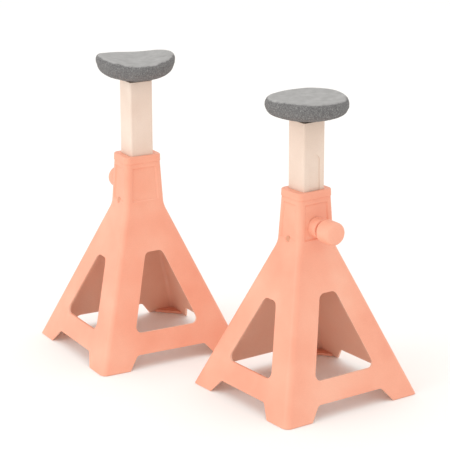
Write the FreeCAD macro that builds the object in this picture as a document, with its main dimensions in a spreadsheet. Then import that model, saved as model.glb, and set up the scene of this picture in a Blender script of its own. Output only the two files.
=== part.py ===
import FreeCAD, Part
import math
import os

from FreeCAD import Placement, Rotation, Vector
import Sketcher

# A pair of pin-lock axle jack stands. Each stand is a pressed pyramid base with a tapered neck, a square
# post that slides in it, a sprung lock pin with a pull knob, and a swivelling saddle with a rubber pad.
# Each stand is drawn in its own frame: Z up from the floor, origin under the post, lock pin on the -Y side.

SIZES = {
    # base shell
    "base_length": 204.0,
    "base_width": 196.0,
    "base_corner": 8.0,
    "wall": 2.5,
    "crease_height": 191.0,
    "crease_reach": 6.0,
    "neck_foot_length": 56.6,
    "neck_foot_width": 46.4,
    "neck_corner": 6.5,
    "neck_top": 256.0,
    "neck_top_length": 49.8,
    "neck_top_width": 39.6,
    # windows and foot arches
    "leg_length": 38.9,
    "leg_width": 36.0,
    "window_sill": 42.5,
    "window_top_length": 137.5,
    "window_top_width": 127.0,
    "window_head_length": 24.0,
    "window_head_width": 22.0,
    "head_radius": 9.0,
    "sill_radius": 7.0,
    "foot_length": 39.5,
    "arch_rise": 17.0,
    "arch_run": 14.0,
    "arch_radius": 7.0,
    "seam_reach": 0.15,
    # foot plates
    "plate_leg": 27.0,
    "plate_thickness": 3.0,
    "plate_gap": 0.1,
    "plate_cut": 5.0,
    # post
    "post_side": 31.75,
    "post_wall": 3.0,
    "post_corner": 2.5,
    "post_top": 343.5,
    "channel_width": 16.0,
    "channel_depth": 1.0,
    "channel_top": 303.0,
    "pitch": 12.0,
    "holes_above": 2.0,
    "holes_below": 4.0,
    "hole_diameter": 7.6,
    "slide_gap": 0.15,
    # guides in the neck
    "collar_skirt": 1.0,
    "collar_height": 7.5,
    "collar_flange": 3.0,
    "collar_round": 1.9,
    "sleeve_bottom": 226.0,
    "seat_gap": 0.1,
    "rivet_gap": 3.0,
    "guide_bottom": 184.0,
    "guide_top": 204.0,
    "rivet_height": 199.0,
    "rivet_diameter": 6.0,
    "rivet_head": 8.0,
    "rivet_head_height": 0.5,
    "dimple_diameter": 9.0,
    "dimple_depth": 1.3,
    # lock
    "pin_height": 214.0,
    "pin_diameter": 7.0,
    "bore_gap": 0.05,
    "pin_reach": 1.0,
    "pin_flange": 13.0,
    "pin_flange_thickness": 1.6,
    "travel": 4.4,
    "boss_diameter": 24.0,
    "boss_length": 10.5,
    "boss_round": 1.2,
    "nipple_diameter": 16.4,
    "nipple_gap": 0.6,
    "nipple_web": 2.0,
    "chamber_diameter": 14.0,
    "retainer_thickness": 1.8,
    "spring_wire": 0.8,
    "spring_turns": 4.5,
    "rest_gap": 0.3,
    "knob_diameter": 28.6,
    "knob_length": 23.5,
    "knob_dome": 6.0,
    "knob_gap": 0.5,
    "knob_hub": 19.0,
    "knob_hub_length": 5.0,
    "knob_recess": 14.6,
    "notch_width": 6.0,
    "knob_bore_end": 6.0,
    # post ends
    "head_length": 18.0,
    "stop_side": 36.0,
    "stop_thickness": 4.0,
    "stop_plug": 12.0,
    # saddle
    "saddle_diameter": 102.0,
    "saddle_gap": 0.5,
    "saddle_valley": 27.0,
    "right_rise": 3.0,
    "left_rise": 9.0,
    "saddle_seat": 30.0,
    "saddle_side": 19.0,
    "saddle_belly": 10.0,
    "belly_round": 14.0,
    "flank_round": 7.0,
    "saddle_round": 5.0,
    "core_diameter": 68.0,
    "core_bottom": 9.0,
    "core_thickness": 4.0,
    "hub_diameter": 24.0,
    "spigot_diameter": 16.0,
    "spigot_tail": 5.0,
    "clip_diameter": 21.0,
    "clip_groove": 13.6,
    "clip_thickness": 1.2,
    # place of the two stands
    "pair_across": 73.6,
    "pair_along": 264.0,
    "middle_across": 41.385,
    "middle_along": 136.813,
}

# Each saddle turns freely, so the two rest at different angles to their base.
SADDLE_TURNS = {"right": 18.0, "left": -14.0}

# The left stand is turned about half a turn, so its knob faces away from the right one's.
STAND_TURNS = {"right": 0.0, "left": 173.8}

# The left post stands one hole higher than the right one.
RAISED_HOLES = {"right": 0.0, "left": 1.0}

doc = FreeCAD.newDocument("jack_stands")
sheet = doc.addObject("Spreadsheet::Sheet", "Sizes")
for row, (alias, value) in enumerate(SIZES.items(), start=1):
    sheet.set(f"A{row}", alias)
    sheet.set(f"B{row}", str(value))
    sheet.setAlias(f"B{row}", alias)
doc.recompute()

# Derived places, written once as expressions on the sheet's values.
POST_HALF = "Sizes.post_side / 2"
POST_BORE = "Sizes.post_side + 2 * Sizes.slide_gap"
LEG_SLOPE_LONG = "(Sizes.base_length - Sizes.neck_foot_length) / 2 / Sizes.crease_height"
LEG_SLOPE_WIDE = "(Sizes.base_width - Sizes.neck_foot_width) / 2 / Sizes.crease_height"
NECK_RUN = "(Sizes.neck_top - Sizes.crease_height)"
NECK_SLOPE_LONG = f"(Sizes.neck_foot_length - Sizes.neck_top_length) / 2 / {NECK_RUN}"
NECK_SLOPE_WIDE = f"(Sizes.neck_foot_width - Sizes.neck_top_width) / 2 / {NECK_RUN}"
FACE = f"(Sizes.neck_foot_width / 2 - (Sizes.pin_height - Sizes.crease_height) * {NECK_SLOPE_WIDE})"
BOSS_END = f"({FACE} + Sizes.boss_length)"
NIPPLE_END = f"({POST_HALF} + Sizes.nipple_gap)"
CHAMBER_FLOOR = f"({NIPPLE_END} + Sizes.nipple_web)"
PIN_TIP = f"({POST_HALF} - Sizes.post_wall - Sizes.pin_reach)"
FLANGE_FACE = f"({CHAMBER_FLOOR} + Sizes.rest_gap)"
KNOB_FACE = f"({BOSS_END} + Sizes.knob_gap)"
CAP_FACE = f"({KNOB_FACE} + Sizes.knob_hub_length)"
KNOB_END = f"({CAP_FACE} + Sizes.knob_length)"
STOP_TOP = "(Sizes.guide_bottom - Sizes.rest_gap - Sizes.holes_below * Sizes.pitch)"
SADDLE_BASE = "(Sizes.post_top + Sizes.saddle_gap)"
SADDLE_HALF = "Sizes.saddle_diameter / 2"


def size(expression):
    """The value of an expression on the sheet, as a plain number."""
    return float(sheet.evalExpression(expression))


def new_body(label):
    """An empty body whose label names its file."""
    body = doc.addObject("PartDesign::Body", label)
    body.Label = label
    return body


def sketch_on(body, role, name, offset="0"):
    """A sketch on one of the body's own origin planes, moved along that plane's normal."""
    sketch = body.newObject("Sketcher::SketchObject", name)
    plane = next(item for item in body.Origin.OriginFeatures if item.Role == role)
    sketch.AttachmentSupport = (plane, "")
    sketch.MapMode = "FlatFace"
    sketch.setExpression(".AttachmentOffset.Base.z", offset)
    return sketch


def pin_point(sketch, geometry, end, across, up):
    """Ties one point of a sketch to two expressions, measured from the sketch's origin."""
    for kind, expression in (("DistanceX", across), ("DistanceY", up)):
        value = size(expression)
        index = sketch.addConstraint(Sketcher.Constraint(kind, -1, 1, geometry, end, value))
        sketch.setExpression(f"Constraints[{index}]", expression)


def outline(sketch, corners):
    """A closed outline of straight lines through corners given as pairs of expressions."""
    points = [Vector(size(across), size(up), 0) for across, up in corners]
    count = len(points)
    lines = [
        sketch.addGeometry(Part.LineSegment(points[i], points[(i + 1) % count]), False)
        for i in range(count)
    ]
    for i, line in enumerate(lines):
        sketch.addConstraint(Sketcher.Constraint("Coincident", line, 2, lines[(i + 1) % count], 1))
    for line, (across, up) in zip(lines, corners):
        pin_point(sketch, line, 1, across, up)


def round_outline(sketch, corners, radii):
    """A closed outline with tangent arcs at the corners that have a radius, and plain corners elsewhere."""
    points = [Vector(size(across), size(up), 0) for across, up in corners]
    count = len(points)
    starts, mids, ends = [], [], []
    for i, (corner, radius) in enumerate(zip(points, radii)):
        back = (points[i - 1] - corner).normalize()
        ahead = (points[(i + 1) % count] - corner).normalize()
        half_angle = back.getAngle(ahead) / 2
        bend = size(radius) if radius else 0.0
        starts.append(corner + back * bend / math.tan(half_angle))
        ends.append(corner + ahead * bend / math.tan(half_angle))
        inward = (back + ahead).normalize()
        mids.append(corner + inward * bend * (1 / math.sin(half_angle) - 1))
    lines = [
        sketch.addGeometry(Part.LineSegment(ends[i], starts[(i + 1) % count]), False) for i in range(count)
    ]
    for i, (across, up) in enumerate(corners):
        before, after = lines[i - 1], lines[i]
        if not radii[i]:
            sketch.addConstraint(Sketcher.Constraint("Coincident", before, 2, after, 1))
            pin_point(sketch, after, 1, across, up)
            continue
        arc = sketch.addGeometry(Part.Arc(starts[i], mids[i], ends[i]), False)
        forward = (sketch.getPoint(arc, 1) - starts[i]).Length < (sketch.getPoint(arc, 2) - starts[i]).Length
        first, last = (1, 2) if forward else (2, 1)
        sketch.addConstraint(Sketcher.Constraint("Tangent", before, 2, arc, first))
        sketch.addConstraint(Sketcher.Constraint("Tangent", arc, last, after, 1))
        index = sketch.addConstraint(Sketcher.Constraint("Radius", arc, size(radii[i])))
        sketch.setExpression(f"Constraints[{index}]", radii[i])
        corner = sketch.addGeometry(Part.Point(points[i]), True)
        pin_point(sketch, corner, 1, across, up)
        sketch.addConstraint(Sketcher.Constraint("PointOnObject", corner, 1, before))
        sketch.addConstraint(Sketcher.Constraint("PointOnObject", corner, 1, after))


def circle(sketch, diameter, across="0", up="0"):
    """A circle bound to a diameter and a centre."""
    middle = Vector(size(across), size(up), 0)
    index = sketch.addGeometry(Part.Circle(middle, Vector(0, 0, 1), size(diameter) / 2), False)
    pin_point(sketch, index, 3, across, up)
    constraint = sketch.addConstraint(Sketcher.Constraint("Diameter", index, size(diameter)))
    sketch.setExpression(f"Constraints[{constraint}]", diameter)


def rounded_rectangle(sketch, length, width, radius):
    """A rectangle about the sketch's origin, with four equal corner arcs."""
    a, b, r = size(length) / 2, size(width) / 2, size(radius)
    turns = [(1, 1, 0), (-1, 1, 90), (-1, -1, 180), (1, -1, 270)]
    arcs = []
    for sx, sy, start in turns:
        middle = Vector(sx * (a - r), sy * (b - r), 0)
        ring = Part.Circle(middle, Vector(0, 0, 1), r)
        arc = Part.ArcOfCircle(ring, math.radians(start), math.radians(start + 90))
        arcs.append(sketch.addGeometry(arc, False))
    sides = []
    for i, arc in enumerate(arcs):
        following = arcs[(i + 1) % 4]
        line = Part.LineSegment(sketch.getPoint(arc, 2), sketch.getPoint(following, 1))
        side = sketch.addGeometry(line, False)
        sketch.addConstraint(Sketcher.Constraint("Tangent", arc, 2, side, 1))
        sketch.addConstraint(Sketcher.Constraint("Tangent", side, 2, following, 1))
        sides.append(side)
    for i in (1, 2, 3):
        sketch.addConstraint(Sketcher.Constraint("Equal", arcs[0], arcs[i]))
    index = sketch.addConstraint(Sketcher.Constraint("Radius", arcs[0], r))
    sketch.setExpression(f"Constraints[{index}]", radius)
    for (sx, sy, _), arc in list(zip(turns, arcs))[0:3:2]:
        across = f"{sx} * (({length}) / 2 - ({radius}))"
        up = f"{sy} * (({width}) / 2 - ({radius}))"
        pin_point(sketch, arc, 3, across, up)


def pad(body, sketch, length, reverse=False, both_ways=False):
    """Extrudes a sketch by an expression, on one side or evenly on both."""
    feature = body.newObject("PartDesign::Pad", f"{body.Label}_pad")
    feature.Profile = sketch
    feature.setExpression("Length", length)
    feature.Reversed = reverse
    feature.SideType = "Symmetric" if both_ways else "One side"
    doc.recompute()
    return feature


def pocket(body, sketch, length=None, reverse=False, both_ways=False):
    """Cuts a sketch out of the body and checks that something was cut."""
    before = body.Shape.Volume
    feature = body.newObject("PartDesign::Pocket", f"{body.Label}_pocket")
    feature.Profile = sketch
    if length is None:
        feature.Type = "ThroughAll"
    else:
        feature.setExpression("Length", length)
    feature.Reversed = reverse
    feature.SideType = "Symmetric" if both_ways else "One side"
    doc.recompute()
    if body.Shape.Volume >= before:
        raise RuntimeError(f"{sketch.Label} cuts nothing")
    return feature


def revolve(body, sketch, cut=False):
    """Turns a sketch about its own upright axis, as material or as a groove."""
    before = body.Shape.Volume if cut else 0.0
    kind = "PartDesign::Groove" if cut else "PartDesign::Revolution"
    feature = body.newObject(kind, f"{body.Label}_turn")
    feature.Profile = sketch
    feature.ReferenceAxis = (sketch, ["V_Axis"])
    feature.Angle = 360
    doc.recompute()
    if cut and body.Shape.Volume >= before:
        raise RuntimeError(f"{sketch.Label} cuts nothing")
    return feature


def loft(body, sketches, cut=False):
    """A ruled skin through a stack of sketches, as material or as a cut."""
    kind = "PartDesign::SubtractiveLoft" if cut else "PartDesign::AdditiveLoft"
    feature = body.newObject(kind, f"{body.Label}_loft")
    feature.Profile = sketches[0]
    feature.Sections = sketches[1:]
    feature.Ruled = True
    doc.recompute()
    return feature


def round_edges(body, wanted, radius):
    """Fillets each edge of the body for which wanted(edge) is true."""
    base = body.Tip
    names = [f"Edge{i}" for i, edge in enumerate(base.Shape.Edges, start=1) if wanted(edge)]
    if not names:
        raise RuntimeError(f"{body.Label} has no such edge")
    feature = body.newObject("PartDesign::Fillet", f"{body.Label}_round")
    feature.Base = (base, names)
    feature.setExpression("Radius", radius)
    doc.recompute()
    return feature


def runs_along(edge, axis):
    """True for a straight edge along the given axis."""
    if not isinstance(edge.Curve, Part.Line):
        return False
    return abs(abs(edge.tangentAt(edge.FirstParameter).dot(axis)) - 1) < 1e-6


def middle_of(edge):
    """The point half-way along an edge."""
    return edge.valueAt((edge.FirstParameter + edge.LastParameter) / 2)


def shell_section(length_or_width, height_share, inner, top=False):
    """Outer or inner size of the shell at one level of the pyramid, crease or neck.

    height_share names the level: 0 floor, 1 to 5 across the crease's curve, 6 the top of the neck.
    """
    base = f"Sizes.base_{length_or_width} / 2"
    foot = f"Sizes.neck_foot_{length_or_width} / 2"
    leg = LEG_SLOPE_LONG if length_or_width == "length" else LEG_SLOPE_WIDE
    neck = NECK_SLOPE_LONG if length_or_width == "length" else NECK_SLOPE_WIDE
    low = f"({foot} + Sizes.crease_reach * {leg})"
    high = f"({foot} - Sizes.crease_reach * {neck})"
    if height_share == 0:
        half = base
    elif height_share == 6:
        half = f"Sizes.neck_top_{length_or_width} / 2"
    else:
        t = (height_share - 1) / 4
        half = f"({(1 - t) ** 2} * {low} + {2 * t * (1 - t)} * {foot} + {t ** 2} * {high})"
    return f"2 * ({half} - {'Sizes.wall' if inner else '0'})"


def shell_level(level):
    """The height of one level of the shell, as an expression."""
    if level == 0:
        return "0"
    if level == 6:
        return "Sizes.neck_top"
    return f"(Sizes.crease_height + {(level - 3) / 2} * Sizes.crease_reach)"


def shell_sketches(body, inner):
    """The stack of rounded rectangles that the shell's outside or inside runs through."""
    stack = []
    for level in range(7):
        side = "inner" if inner else "outer"
        sketch = sketch_on(body, "XY_Plane", f"{body.Label}_{side}_{level}", shell_level(level))
        corner = "Sizes.base_corner" if level == 0 else "Sizes.neck_corner"
        radius = f"({corner} - Sizes.wall)" if inner else corner
        rounded_rectangle(
            sketch,
            shell_section("length", level, inner),
            shell_section("width", level, inner),
            radius,
        )
        stack.append(sketch)
    return stack


def window_corners(side):
    """The window's outline on one wall: a trapezoid between the two corner legs."""
    slope = LEG_SLOPE_LONG if side == "length" else LEG_SLOPE_WIDE
    sill = f"(Sizes.base_{side} / 2 - Sizes.window_sill * {slope} - Sizes.leg_{side})"
    return [
        (f"-{sill}", "Sizes.window_sill"),
        (sill, "Sizes.window_sill"),
        (f"Sizes.window_head_{side} / 2", f"Sizes.window_top_{side}"),
        (f"-Sizes.window_head_{side} / 2", f"Sizes.window_top_{side}"),
    ]


def arch_corners(side):
    """The gap between two feet, its sloped ends carried below the floor so that it cuts cleanly."""
    toe = f"(Sizes.base_{side} / 2 - Sizes.foot_length)"
    crown = f"({toe} - Sizes.arch_run)"
    below = f"({toe} + Sizes.arch_run)"
    return [
        (f"-{below}", "-Sizes.arch_rise"),
        (below, "-Sizes.arch_rise"),
        (crown, "Sizes.arch_rise"),
        (f"-{crown}", "Sizes.arch_rise"),
    ]


WINDOW_RADII = ["Sizes.sill_radius", "Sizes.sill_radius", "Sizes.head_radius", "Sizes.head_radius"]
ARCH_RADII = [None, None, "Sizes.arch_radius", "Sizes.arch_radius"]


def build_base(label, window_side):
    """The pressed base: pyramid, curved crease and neck in one skin, open below.

    window_side is -1 for windows in the -Y and -X walls, and 1 for windows in the +Y and +X walls.
    """
    body = new_body(label)
    loft(body, shell_sketches(body, inner=False))
    loft(body, shell_sketches(body, inner=True), cut=True)
    planes = {"length": "XZ_Plane", "width": "YZ_Plane"}
    for side, role in planes.items():
        arch = sketch_on(body, role, f"{label}_arch_{side}")
        round_outline(arch, arch_corners(side), ARCH_RADII)
        pocket(body, arch, "2 * Sizes.base_length", both_ways=True)
    for side, role in planes.items():
        window = sketch_on(body, role, f"{label}_window_{side}")
        round_outline(window, window_corners(side), WINDOW_RADII)
        towards_plus = window_side > 0
        pocket(body, window, "Sizes.base_length", reverse=(side == "width") == towards_plus)
    hole = sketch_on(body, "XZ_Plane", f"{label}_boss_hole")
    circle(hole, "Sizes.nipple_diameter + 2 * Sizes.seat_gap", "0", "Sizes.pin_height")
    pocket(body, hole, "Sizes.base_width", reverse=True)
    dimple_floor = (
        f"Sizes.neck_foot_length / 2 - (Sizes.rivet_height - Sizes.crease_height) * {NECK_SLOPE_LONG}"
        " - Sizes.dimple_depth"
    )
    for sign in (1, -1):
        dimple = sketch_on(body, "YZ_Plane", f"{label}_dimple_{sign + 1}", f"{sign} * ({dimple_floor})")
        circle(dimple, "Sizes.dimple_diameter", "0", "Sizes.rivet_height")
        pocket(body, dimple, "Sizes.wall * 3", reverse=sign > 0)
        rivet = sketch_on(body, "YZ_Plane", f"{label}_rivet_{sign + 1}", f"{sign} * ({dimple_floor})")
        circle(rivet, "Sizes.rivet_diameter", "0", "Sizes.rivet_height")
        pocket(body, rivet, "Sizes.wall * 3", reverse=sign < 0)
    return body


def build_foot_plates(label):
    """Four small plates welded across the inside of the corners, level with the floor."""
    half = {
        side: f"(Sizes.base_{side} / 2 - Sizes.wall - Sizes.plate_gap - Sizes.plate_thickness * {slope})"
        for side, slope in (("length", LEG_SLOPE_LONG), ("width", LEG_SLOPE_WIDE))
    }
    cut = "Sizes.plate_cut"
    plates = []
    for sx, sy in ((1, 1), (-1, 1), (-1, -1), (1, -1)):
        body = new_body(f"{label}_{len(plates)}")
        sketch = sketch_on(body, "XY_Plane", f"{body.Label}_sketch")
        corners = [
            (f"({half['length']} - {cut})", half["width"]),
            (f"({half['length']} - Sizes.plate_leg)", half["width"]),
            (half["length"], f"({half['width']} - Sizes.plate_leg)"),
            (half["length"], f"({half['width']} - {cut})"),
        ]
        outline(sketch, [(f"{sx} * {x}", f"{sy} * {y}") for x, y in corners])
        pad(body, sketch, "Sizes.plate_thickness")
        plates.append(body)
    group = doc.addObject("Part::Compound", label)
    group.Links = plates
    group.Label = label
    return group


def build_collar(label):
    """The neck's top collar: a proud rim round the outside and a sleeve that guides the post."""
    body = new_body(label)
    proud = "2 * Sizes.collar_skirt"
    rim = sketch_on(body, "XY_Plane", f"{label}_rim", "Sizes.neck_top + Sizes.collar_flange")
    rounded_rectangle(
        rim,
        f"Sizes.neck_top_length + {proud} + 2 * Sizes.collar_height * {NECK_SLOPE_LONG}",
        f"Sizes.neck_top_width + {proud} + 2 * Sizes.collar_height * {NECK_SLOPE_WIDE}",
        "Sizes.neck_corner + Sizes.collar_skirt",
    )
    pad(body, rim, "Sizes.collar_height", reverse=True)
    neck_levels = [
        ("Sizes.neck_top - Sizes.collar_height", "Sizes.collar_height"),
        ("Sizes.neck_top", "0"),
    ]
    hollow = []
    for level, drop in neck_levels:
        sketch = sketch_on(body, "XY_Plane", f"{label}_seat_{len(hollow)}", level)
        rounded_rectangle(
            sketch,
            f"Sizes.neck_top_length + 2 * {drop} * {NECK_SLOPE_LONG}",
            f"Sizes.neck_top_width + 2 * {drop} * {NECK_SLOPE_WIDE}",
            "Sizes.neck_corner",
        )
        hollow.append(sketch)
    loft(body, hollow, cut=True)
    sleeve = sketch_on(body, "XY_Plane", f"{label}_sleeve", "Sizes.neck_top + Sizes.collar_flange / 2")
    inside = "2 * (Sizes.wall + Sizes.seat_gap)"
    rounded_rectangle(
        sleeve,
        f"Sizes.neck_top_length - {inside}",
        f"Sizes.neck_top_width - {inside}",
        "Sizes.neck_corner - Sizes.wall - Sizes.seat_gap",
    )
    pad(body, sleeve, "Sizes.neck_top + Sizes.collar_flange / 2 - Sizes.sleeve_bottom", reverse=True)
    bore = sketch_on(body, "XY_Plane", f"{label}_bore", "Sizes.neck_top + Sizes.collar_flange")
    rounded_rectangle(bore, POST_BORE, POST_BORE, "Sizes.post_corner + Sizes.slide_gap")
    pocket(body, bore)
    top = size("Sizes.neck_top + Sizes.collar_flange")
    outer = size(f"{POST_BORE}") / 2 + 1
    on_rim = lambda e: abs(e.BoundBox.ZMin - top) < 1e-4 and abs(e.BoundBox.ZMax - top) < 1e-4
    outside = lambda e: max(abs(middle_of(e).x), abs(middle_of(e).y)) > outer
    round_edges(body, lambda e: on_rim(e) and outside(e), "Sizes.collar_round")
    return body


def build_guide(label):
    """The lower guide block, riveted inside the foot of the neck."""
    body = new_body(label)
    rise = "(Sizes.guide_top - Sizes.crease_height)"
    block = sketch_on(body, "XY_Plane", f"{label}_block", "Sizes.guide_bottom")
    rounded_rectangle(
        block,
        f"Sizes.neck_foot_length - 2 * ({rise} * {NECK_SLOPE_LONG} + Sizes.wall + Sizes.seat_gap)",
        f"Sizes.neck_foot_width - 2 * ({rise} * {NECK_SLOPE_WIDE} + Sizes.wall + Sizes.seat_gap)",
        "Sizes.neck_corner - Sizes.wall",
    )
    pad(body, block, "Sizes.guide_top - Sizes.guide_bottom")
    bore = sketch_on(body, "XY_Plane", f"{label}_bore", "Sizes.guide_top")
    rounded_rectangle(bore, POST_BORE, POST_BORE, "Sizes.post_corner + Sizes.slide_gap")
    pocket(body, bore)
    holes = sketch_on(body, "YZ_Plane", f"{label}_rivet_holes")
    circle(holes, "Sizes.rivet_diameter", "0", "Sizes.rivet_height")
    pocket(body, holes, "2 * Sizes.neck_foot_length", both_ways=True)
    return body


def build_rivets(label):
    """Two low-headed rivets that hold the lower guide to the sides of the neck."""
    seat = (
        f"(Sizes.neck_foot_length / 2 - (Sizes.rivet_height - Sizes.crease_height) * {NECK_SLOPE_LONG}"
        " - Sizes.dimple_depth)"
    )
    inner_end = f"({POST_HALF} + Sizes.slide_gap + Sizes.rivet_gap)"
    rivets = []
    for sign in (1, -1):
        body = new_body(f"{label}_{len(rivets)}")
        head = sketch_on(body, "YZ_Plane", f"{body.Label}_head", f"{sign} * {seat}")
        circle(head, "Sizes.rivet_head", "0", "Sizes.rivet_height")
        pad(body, head, "Sizes.rivet_head_height", reverse=sign < 0)
        shank = sketch_on(body, "YZ_Plane", f"{body.Label}_shank", f"{sign} * {seat}")
        circle(shank, "Sizes.rivet_diameter", "0", "Sizes.rivet_height")
        pad(body, shank, f"{seat} - {inner_end}", reverse=sign > 0)
        rivets.append(body)
    group = doc.addObject("Part::Compound", label)
    group.Links = rivets
    group.Label = label
    return group


def lock_disc(body, diameter, start, end, name):
    """A round disc on the lock's axis, between two distances out from the post's centre."""
    sketch = sketch_on(body, "XZ_Plane", name, start)
    circle(sketch, diameter, "0", "Sizes.pin_height")
    return pad(body, sketch, f"{end} - ({start})")


def lock_bore(body, diameter, start, end, name):
    """A round hole on the lock's axis, between two distances out from the post's centre."""
    sketch = sketch_on(body, "XZ_Plane", name, end)
    circle(sketch, diameter, "0", "Sizes.pin_height")
    return pocket(body, sketch, f"{end} - ({start})")


def build_boss(label):
    """The lock's housing: a boss welded to the neck, with a nipple through its wall and a spring chamber."""
    body = new_body(label)
    lock_disc(body, "Sizes.boss_diameter", CHAMBER_FLOOR, BOSS_END, f"{label}_disc")
    end = -size(BOSS_END)
    round_edges(body, lambda e: abs(e.BoundBox.YMin - end) < 1e-4 and e.BoundBox.YMax < end + 1e-4,
                "Sizes.boss_round")
    wedge = sketch_on(body, "YZ_Plane", f"{label}_seat")
    low = "(Sizes.pin_height - Sizes.boss_diameter)"
    high = "(Sizes.pin_height + Sizes.boss_diameter)"
    face_at = (
        f"-(Sizes.neck_foot_width / 2 + Sizes.seat_gap - ({{0}} - Sizes.crease_height) * {NECK_SLOPE_WIDE})"
    )
    outline(wedge, [(face_at.format(low), low), ("0", low), ("0", high), (face_at.format(high), high)])
    pocket(body, wedge, "2 * Sizes.boss_diameter", both_ways=True)
    lock_disc(body, "Sizes.nipple_diameter", NIPPLE_END, f"({BOSS_END} - Sizes.boss_length / 2)",
              f"{label}_nipple")
    lock_bore(body, "Sizes.chamber_diameter", CHAMBER_FLOOR, BOSS_END, f"{label}_chamber")
    lock_bore(body, "Sizes.pin_diameter + 2 * Sizes.bore_gap", NIPPLE_END, BOSS_END, f"{label}_pin_bore")
    return body


def build_retainer(label):
    """The ring pressed into the mouth of the boss, which the spring pushes against."""
    body = new_body(label)
    start = f"({BOSS_END} - Sizes.retainer_thickness)"
    lock_disc(body, "Sizes.chamber_diameter", start, BOSS_END, f"{label}_disc")
    lock_bore(body, "Sizes.pin_diameter + 2 * Sizes.bore_gap", start, BOSS_END, f"{label}_bore")
    return body


def build_pin(label):
    """The steel lock pin, with the flange that the spring pushes on."""
    body = new_body(label)
    knob_seat = f"({KNOB_END} - Sizes.knob_bore_end)"
    lock_disc(body, "Sizes.pin_diameter", PIN_TIP, knob_seat, f"{label}_shank")
    lock_disc(body, "Sizes.pin_flange", FLANGE_FACE, f"({FLANGE_FACE} + Sizes.pin_flange_thickness)",
              f"{label}_flange")
    tip = -size(PIN_TIP)
    round_edges(body, lambda e: abs(e.BoundBox.YMin - tip) < 1e-4 and e.BoundBox.YMax < tip + 1e-4,
                "Sizes.pin_reach * 0.8")
    return body


def build_spring(label):
    """The compression spring between the pin's flange and the retainer."""
    start = f"({FLANGE_FACE} + Sizes.pin_flange_thickness + Sizes.spring_wire / 2 + Sizes.seat_gap)"
    end = f"({BOSS_END} - Sizes.retainer_thickness - Sizes.spring_wire / 2 - Sizes.seat_gap)"
    helix = doc.addObject("Part::Helix", f"{label}_path")
    helix.setExpression("Radius", "(Sizes.pin_diameter + Sizes.chamber_diameter) / 4")
    helix.setExpression("Height", f"{end} - {start}")
    helix.setExpression("Pitch", f"({end} - {start}) / Sizes.spring_turns")
    helix.SegmentLength = 0.5
    wire = doc.addObject("Part::Circle", f"{label}_wire")
    wire.setExpression("Radius", "Sizes.spring_wire / 2")
    wire.setExpression(".Placement.Base.x", "(Sizes.pin_diameter + Sizes.chamber_diameter) / 4")
    wire.Placement.Rotation = Rotation(Vector(1, 0, 0), 90)
    doc.recompute()
    sweep = doc.addObject("Part::Sweep", label)
    sweep.Sections = [wire]
    sweep.Spine = helix
    sweep.Solid = True
    sweep.Frenet = True
    sweep.Label = label
    return sweep, start


def build_knob(label):
    """The pull knob: a domed cap on a hollow hub that has a notch at top and bottom."""
    body = new_body(label)
    lock_disc(body, "Sizes.knob_diameter", CAP_FACE, KNOB_END, f"{label}_cap")
    end = -size(KNOB_END)
    round_edges(body, lambda e: abs(e.BoundBox.YMin - end) < 1e-4 and e.BoundBox.YMax < end + 1e-4,
                "Sizes.knob_dome")
    lock_disc(body, "Sizes.knob_hub", KNOB_FACE, f"({CAP_FACE} + Sizes.knob_hub_length)", f"{label}_hub")
    recess = sketch_on(body, "XZ_Plane", f"{label}_recess", KNOB_FACE)
    circle(recess, "Sizes.knob_recess", "0", "Sizes.pin_height")
    pocket(body, recess, "Sizes.knob_hub_length", reverse=True)
    bore = sketch_on(body, "XZ_Plane", f"{label}_bore", CAP_FACE)
    circle(bore, "Sizes.pin_diameter", "0", "Sizes.pin_height")
    pocket(body, bore, f"{KNOB_END} - Sizes.knob_bore_end - {CAP_FACE}", reverse=True)
    notch = sketch_on(body, "XZ_Plane", f"{label}_notch", KNOB_FACE)
    low = "(Sizes.pin_height - Sizes.knob_diameter)"
    high = "(Sizes.pin_height + Sizes.knob_diameter)"
    across = "Sizes.notch_width / 2"
    outline(notch, [(f"-{across}", low), (across, low), (across, high), (f"-{across}", high)])
    pocket(body, notch, "Sizes.knob_hub_length", reverse=True)
    return body


def build_post(label):
    """The square tube that slides in the neck, with a channel and lock holes on the pin's side."""
    body = new_body(label)
    outside = sketch_on(body, "XY_Plane", f"{label}_outside", STOP_TOP)
    rounded_rectangle(outside, "Sizes.post_side", "Sizes.post_side", "Sizes.post_corner")
    pad(body, outside, f"Sizes.post_top - {STOP_TOP}")
    inside = sketch_on(body, "XY_Plane", f"{label}_inside", "Sizes.post_top")
    bore = "Sizes.post_side - 2 * Sizes.post_wall"
    rounded_rectangle(inside, bore, bore, "Sizes.post_corner / 4")
    pocket(body, inside)
    channel = sketch_on(body, "XZ_Plane", f"{label}_channel", f"{POST_HALF} - Sizes.channel_depth")
    across = "Sizes.channel_width / 2"
    outline(channel, [
        (f"-{across}", f"{STOP_TOP} - Sizes.pitch"),
        (across, f"{STOP_TOP} - Sizes.pitch"),
        (across, "Sizes.channel_top"),
        (f"-{across}", "Sizes.channel_top"),
    ])
    pocket(body, channel, "Sizes.channel_depth * 2", reverse=True)
    crown = size("Sizes.channel_top")
    round_edges(
        body,
        lambda e: runs_along(e, Vector(0, 1, 0)) and abs(middle_of(e).z - crown) < 0.01,
        "Sizes.channel_width / 2 * 0.98",
    )
    holes = sketch_on(body, "XZ_Plane", f"{label}_hole")
    circle(holes, "Sizes.hole_diameter", "0", "Sizes.pin_height - Sizes.holes_below * Sizes.pitch")
    first = pocket(body, holes, "Sizes.post_side", reverse=True)
    row = body.newObject("PartDesign::LinearPattern", f"{label}_hole_row")
    row.Originals = [first]
    row.Direction = (holes, ["V_Axis"])
    row.Mode = "Spacing"
    row.setExpression("Offset", "Sizes.pitch")
    row.setExpression("Occurrences", "Sizes.holes_above + Sizes.holes_below + 1")
    body.Tip = row
    doc.recompute()
    return body


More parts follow.
